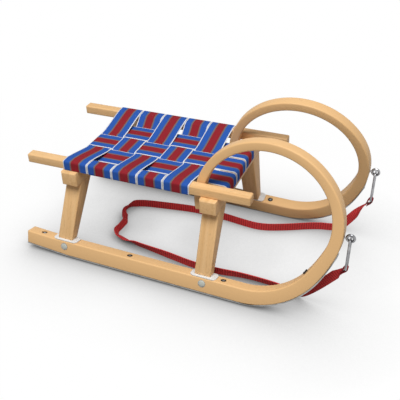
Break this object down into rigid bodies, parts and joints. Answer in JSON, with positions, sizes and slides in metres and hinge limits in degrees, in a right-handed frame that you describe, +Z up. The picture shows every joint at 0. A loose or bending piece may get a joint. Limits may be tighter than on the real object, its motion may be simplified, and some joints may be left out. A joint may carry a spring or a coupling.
{
  "type": "snow sled",
  "caption": "Wooden horn sled with bent runners that curl over into horns, a woven webbing seat on splayed legs, and a tow strap linked to the horn fronts.",
  "frame": {"origin": "on the floor, at the middle of the sled's length and width without the tow strap", "axes": "+X forward towards the horns, +Y to the sled's left, +Z up"},
  "size_m": [0.7419, 0.377, 0.358],
  "materials": {
    "wood": "clear satin lacquer on beech",
    "running_steel": "dull flat steel strip",
    "foot_plastic": "off-white moulded plastic",
    "pin_metal": "zinc-plated domed head",
    "bright_steel": "bright plated wire",
    "seat_webbing": "striped woven webbing, blue, red and white",
    "strap_webbing": "ribbed woven strap, dark red"
  },
  "bodies": {
    "root": {"runner_right": "wood", "runner_shoe_right": "running_steel", "rail_right": "wood", "leg_rear_right": "wood", "foot_plate_rear_right": "foot_plastic", "foot_pin_rear_right": "pin_metal", "leg_front_right": "wood", "foot_plate_front_right": "foot_plastic", "foot_pin_front_right": "pin_metal", "screw_eye_right": "bright_steel", "tow_link_right": "bright_steel", "strap_loop_right": "strap_webbing", "tow_strap_rise_right": "strap_webbing", "runner_left": "wood", "runner_shoe_left": "running_steel", "rail_left": "wood", "leg_rear_left": "wood", "foot_plate_rear_left": "foot_plastic", "foot_pin_rear_left": "pin_metal", "leg_front_left": "wood", "foot_plate_front_left": "foot_plastic", "foot_pin_front_left": "pin_metal", "screw_eye_left": "bright_steel", "tow_link_left": "bright_steel", "strap_loop_left": "strap_webbing", "tow_strap_rise_left": "strap_webbing", "tow_strap_floor": "strap_webbing", "crossbeam_front": "wood", "crossbeam_rear": "wood", "cross_band_1": "seat_webbing", "cross_band_2": "seat_webbing", "cross_band_3": "seat_webbing", "cross_band_4": "seat_webbing", "cross_band_5": "seat_webbing", "length_band_right": "seat_webbing", "length_band_middle": "seat_webbing", "length_band_left": "seat_webbing"}
  },
  "joints": []
}
